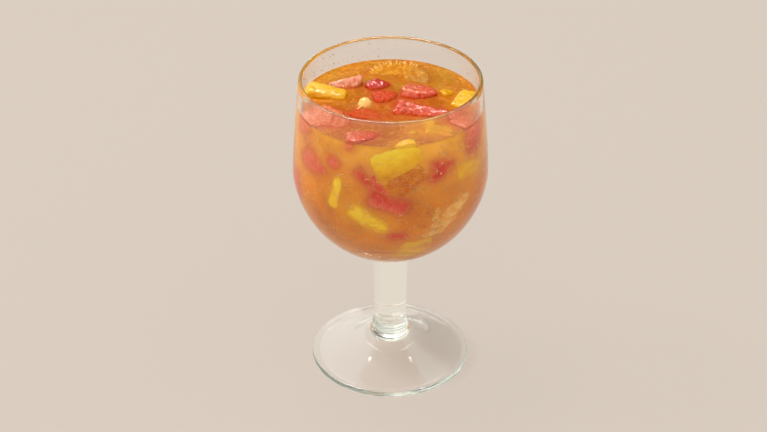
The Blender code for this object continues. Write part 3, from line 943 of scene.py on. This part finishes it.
def make_segment_cells():
    """Juice cells, cream cell ends and fine fibres on the segment that lies at the back."""
    rng = np.random.default_rng(8)
    middle = Vector((2.4, 20.0, 137.0))
    turn = Euler([math.radians(value) for value in (-11, 0, -20)]).to_matrix()
    opening = math.asin(SEGMENT_THICK / 2 / SEGMENT_REACH)

    def place(share, around, lift):
        """A point over the segment's upper face: a share of the way from its core, at an angle."""
        reach = SEGMENT_REACH * share
        flat = Vector((reach * math.cos(around), reach * math.sin(around) * math.cos(opening),
                       reach * math.sin(around) * math.sin(opening)))
        point = turn @ flat + middle
        point.z += lift
        return point

    bm = bmesh.new()
    for around in np.linspace(0.12, math.pi - 0.12, 34):
        for start, end in ((0.30, 0.62), (0.58, 0.97)):
            start += rng.uniform(-0.08, 0.08)
            inner = place(start, around + rng.normal(0, 0.02), 0.05)
            outer = place(end, around, 0.15)
            way = outer - inner
            turned_to = way.to_track_quat("X", "Z").to_matrix()
            width = (0.55 + 0.85 * end) * rng.uniform(0.85, 1.25)
            add_grain(bm, (inner + outer) / 2, (way.length, width, 0.75), turned_to, 10, 6)
    finish_piece("orange_cells", bm, [cell_material()])
    bm = bmesh.new()
    for around in np.linspace(1.25, 2.8, 19):
        around += rng.normal(0, 0.03)
        lower = place(0.84 + rng.uniform(-0.10, 0.07), around + rng.normal(0, 0.03), 0.22)
        upper = place(0.99, around, 0.55 + rng.uniform(-0.3, 0.3))
        turned_to = (upper - lower).to_track_quat("X", "Z").to_matrix()
        size = ((upper - lower).length, rng.uniform(0.5, 1.1), 0.6)
        add_grain(bm, (lower + upper) / 2, size, turned_to)
    for around in np.linspace(0.10, 1.3, 34):
        start = rng.uniform(0.93, 1.0)
        path = [place(start - 0.1 * k, around + rng.normal(0, 0.012), 0.45)
                for k in range(rng.integers(3, 6))]
        add_strand(bm, path, rng.uniform(0.07, 0.13), 4)
    finish_small("orange_cell_skins", bm, "cell_skin", (206, 144, 48), (232, 184, 104),
                 0.25)


# Torn cell skins on the wall: angle, height, width and height of the patch, loops
NETS = [(24, 98, 9, 15, 16), (11, 120.5, 12, 9, 9), (30, 92, 7, 8, 7), (47, 107, 8, 6, 6),
        (-30, 88, 12, 5, 7), (165, 112, 10, 8, 8), (-140, 95, 10, 10, 8)]


def make_cell_nets():
    """Loops of torn cell skin against the glass, beside the segment and the strip of skin."""
    rng = np.random.default_rng(21)
    bm = bmesh.new()
    for angle, height, wide, tall, count in NETS:
        for _ in range(count):
            centre_angle = angle + rng.uniform(-0.5, 0.5) * wide / MM_PER_DEGREE
            centre_height = height + rng.uniform(-0.5, 0.5) * tall
            size = rng.uniform(0.7, 1.5)
            turn, squeeze = rng.uniform(0, math.tau), rng.uniform(0.55, 1.0)
            sweep = rng.uniform(3.4, 6.0)
            path = []
            for k in range(8):
                around = turn + sweep * k / 7
                reach = size * (1 + rng.normal(0, 0.10))
                side, up = reach * math.cos(around), reach * math.sin(around) * squeeze
                path.append(on_wall(centre_angle + side / MM_PER_DEGREE, centre_height + up,
                                    NET_DEPTH))
            add_strand(bm, path, rng.uniform(0.09, 0.15), 3)
    finish_small("torn_cell_skins", bm, "torn_skin", (226, 168, 92), (244, 206, 140), 0.3)


# Thin things pressed to the glass: flesh, angle, height, length, width, lean, paleness, veil
PATCHES = {
    "skin_frill": ("skin", 37.0, 99.5, 26.0, 10.5, 40, 0.6, 0.0),
    "skin_shred": ("skin", 28.0, 102.0, 8.0, 4.0, 70, 0.6, 0.2),
    "strawberry_bridge": ("strawberry", -8.5, 118.0, 14.0, 8.0, -50, 0.5, 0.0),
    "strawberry_tip": ("strawberry", 3.4, 107.0, 8.0, 5.0, -38, 0.85, 0.0),
    "orange_cluster": ("orange", 8.8, 121.6, 21.0, 10.5, 26, 0.10, 0.0),
    "mango_shred": ("mango", 18.0, 86.5, 16.0, 5.5, 8, 0.5, 0.5),
}


def make_patches():
    """Scraps of skin and flesh too thin to be solids, their outlines torn."""
    for seed, (name, patch) in enumerate(PATCHES.items()):
        kind, angle, height, length, width, lean, pale, veiled = patch
        bm = bmesh.new()
        bmesh.ops.create_grid(bm, x_segments=int(length / 0.4), y_segments=int(width / 0.3),
                              size=1.0)
        flat = points_of(bm)
        side, up = leaning(flat[:, 0] * length / 2, flat[:, 1] * width / 2, lean)
        spread = np.column_stack([side, up, side * 0])
        torn = noise_at(spread, 2.0, (seed, 4, 2)) * 0.45
        torn += noise_at(spread, 0.9, (seed, 7, 1)) * 0.25
        share = np.hypot(flat[:, 0] ** 2, flat[:, 1]) + torn
        fold = noise_at(np.column_stack([side * 0.4, up * 1.4, side * 0]), 2.2, (seed, 2, 5))
        depth = PATCH_DEPTH + np.clip(share - 0.72, 0, 1) * 0.9 + np.clip(fold, 0, 1) * 0.12
        radius = float(inner_radius(height))
        move_points(bm, [on_wall(angle + math.degrees(a / radius), height + b, c)
                         for a, b, c in zip(side, up, depth)])
        bmesh.ops.recalc_face_normals(bm, faces=bm.faces)
        bmesh.ops.solidify(bm, geom=bm.faces[:] + bm.edges[:] + bm.verts[:], thickness=0.2)
        bmesh.ops.recalc_face_normals(bm, faces=bm.faces)
        shares = np.tile(share, 2)[:len(bm.verts)]
        veil = np.maximum(ease((shares - 0.5) / 0.35), veiled)
        flesh = fruit_material(name + "_flesh", FLESH[kind], False, FRUIT_LIGHT[kind])
        marks = {"veil": veil, "pale": np.full(len(veil), pale)}
        finish_piece(name, bm, [flesh], marks=marks)


def make_bottom_line():
    """A painted dark line: a thin strand for the fine line that the thick bottom of the bowl draws
    round the last of the fruit.
    """
    bm = bmesh.new()
    path = []
    for k in range(61):
        around = math.tau * k / 62
        height = 78.0 + 3.0 * math.sin(around) - 3.7 * math.cos(around) ** 2
        path.append(on_wall(-3.4 + 34 * math.cos(around), height, BOTTOM_LINE_DEPTH))
    add_strand(bm, path, 0.13, 4)
    finish_small("bottom_line", bm, "bottom_line", (120, 60, 14), (150, 84, 30), 0.4)


def make_splashes():
    """Small drops of juice dried on the inside of the glass, above the juice."""
    rng = np.random.default_rng(3)
    bm = bmesh.new()
    for _ in range(46):
        angle, height = rng.uniform(-172, -96), 138.6 + abs(rng.normal(0, 3.4))
        if rng.uniform() < 0.25:
            angle = rng.uniform(-180, 180)
        size = rng.uniform(0.25, 0.7)
        if height < 147.5:
            add_grain(bm, on_wall(angle, height, 0.05), (size, size * 1.2, 0.3),
                      wall_frame(angle), 8, 4)
    finish_small("juice_splashes", bm, "dried_juice", (170, 104, 50), (200, 140, 84), 0.15)


def make_curl():
    """The thin fibre that hangs from the pale piece."""
    bm = bmesh.new()
    path = [(-16.4, -11.6, 137.5), (-16.0, -9.8, 137.9), (-15.0, -8.0, 138.2), (-13.6, -6.4, 138.5),
            (-12.0, -5.4, 138.9)]
    add_strand(bm, [Vector(point) for point in path], 0.3, 6)
    finish_small("pale_curl", bm, "pale_thread", (240, 190, 96), (252, 222, 150), 0.3)


def make_goblet():
    """The glass itself."""
    finish_piece("goblet", turned(glass_outline(), GLASS_SEGMENTS), [glass_material()],
                 ["glass"])


# ---- Stage

PAPER = tint(217, 205, 193)
FOOT_SHADE = tint(170, 152, 134)
SHADE_MIDDLE = (17.0, -2.0)
SHADE_REACH = (27.0, 30.0)
WINDOW_LIGHT = 32.0
STRIP_LIGHT = 2.5
CAMERA_PLACE = (0.0, -0.7592, 0.5557)
CAMERA_TILT = 57.774
CAMERA_TURN = 0.24
CAMERA_LENS = 90.56


def floor_material():
    """Plain pale paper that glows, evenly but for a painted shadow beside and under the right of
    the foot.
    """
    paint = Paint("pale_paper")
    place = paint.place()
    grain = paint.noise(place, 5.0, 3.0)
    # Painted shadow: the glow darkens towards FOOT_SHADE in a soft oval round SHADE_MIDDLE.
    along = (paint.axis(place, "X") - SHADE_MIDDLE[0]) / SHADE_REACH[0]
    across = (paint.axis(place, "Y") - SHADE_MIDDLE[1]) / SHADE_REACH[1]
    shade = (1.0 - (along * along + across * across)).most(0.0)
    glow = paint.mix(shade * 0.5, PAPER, FOOT_SHADE)
    base = paint.mix(grain.between(0.4, 0.6) * 0.04, tint(92, 86, 80), tint(84, 80, 76))
    return paint.surface({"Base Color": base, "Roughness": 1.0, "Specular IOR Level": 0.0,
                          "Emission Color": glow, "Emission Strength": 0.81})


def make_floor():
    bm = bmesh.new()
    bmesh.ops.create_grid(bm, x_segments=1, y_segments=1, size=4.0)
    bmesh.ops.translate(bm, vec=(0, 0, -0.00015), verts=bm.verts)
    mesh = bpy.data.meshes.new("floor")
    bm.to_mesh(mesh)
    bm.free()
    mesh.materials.append(floor_material())
    floor = bpy.data.objects.new("floor", mesh)
    bpy.context.scene.collection.objects.link(floor)


def add_softbox(name, place, size, power):
    """A rectangular light, aimed at the bowl."""
    data = bpy.data.lights.new(name, "AREA")
    data.shape = "RECTANGLE"
    data.size, data.size_y = size
    data.energy = power
    lamp = bpy.data.objects.new(name, data)
    lamp.location = place
    aim = Vector((0, 0, 0.1)) - Vector(place)
    lamp.rotation_euler = aim.to_track_quat("-Z", "Y").to_euler()
    bpy.context.scene.collection.objects.link(lamp)


def light_scene():
    """Softboxes on the left and above, in a pale room that is dark behind on the right."""
    add_softbox("key_softbox", (-0.86, 0.17, 0.95), (0.30, 0.30), 2.4)
    add_softbox("back_softbox", (-0.22, 0.30, 1.15), (0.60, 0.14), 3.0)
    room = Room("studio")
    way = room.node("ShaderNodeTexCoord", output="Generated")
    right, back, up = (room.axis(way, name) for name in "XYZ")
    dark = (right + back * 0.105).between(-0.01, 0.01) * back.between(0.0, 0.1)
    dark = dark * (1.0 - (right - back * 2.5).between(-0.1, 0.3)) * (1.0 - up.between(0.62, 0.8))
    light = 1.0 - dark * 0.9 + (1.0 - back.between(-0.6, 0.1)) * 0.35
    mirrored = room.node("ShaderNodeLightPath", output="Is Glossy Ray")
    window = up.between(0.60, 0.70) * back.between(0.02, 0.08) * (1.0 - back.between(0.17, 0.23))
    window = window * right.between(-0.60, -0.50) * (1.0 - right.between(0.35, 0.50))
    strip = back.between(0.42, 0.48) * (1.0 - back.between(0.70, 0.76)) * up.between(0.1, 0.2)
    strip = strip * (1.0 - right.math("ABSOLUTE").between(0.14, 0.20))
    light = light + mirrored * (window * WINDOW_LIGHT + strip * STRIP_LIGHT)
    seen = room.node("ShaderNodeLightPath", output="Is Camera Ray")
    strength = light * (1.0 - seen) + seen
    colour = room.mix(seen, (1.0, 0.97, 0.92, 1.0), PAPER)
    background = room.node("ShaderNodeBackground", {}, {"Color": colour, "Strength": strength})
    room.tree.links.new(background.socket, room.output.inputs["Surface"])
    bpy.context.scene.world = room.world


def set_camera():
    data = bpy.data.cameras.new("camera")
    data.sensor_width = 36.0
    data.lens = CAMERA_LENS
    camera = bpy.data.objects.new("camera", data)
    camera.location = CAMERA_PLACE
    camera.rotation_euler = (math.radians(CAMERA_TILT), 0.0, math.radians(CAMERA_TURN))
    bpy.context.scene.collection.objects.link(camera)
    scene = bpy.context.scene
    scene.camera = camera
    scene.view_settings.view_transform = "Standard"
    scene.cycles.use_denoising = True
    scene.cycles.caustics_reflective = True
    scene.cycles.caustics_refractive = True
    scene.cycles.max_bounces = 64
    scene.cycles.transmission_bounces = 64
    scene.cycles.glossy_bounces = 16
    scene.cycles.transparent_max_bounces = 16


noise.seed_set(NOISE_SEED)
set_camera()
make_goblet()
make_juice(make_fruit())
make_pulp()
make_seeds()
make_segment_cells()
make_cell_nets()
make_patches()
make_bottom_line()
make_splashes()
make_curl()
make_floor()
light_scene()
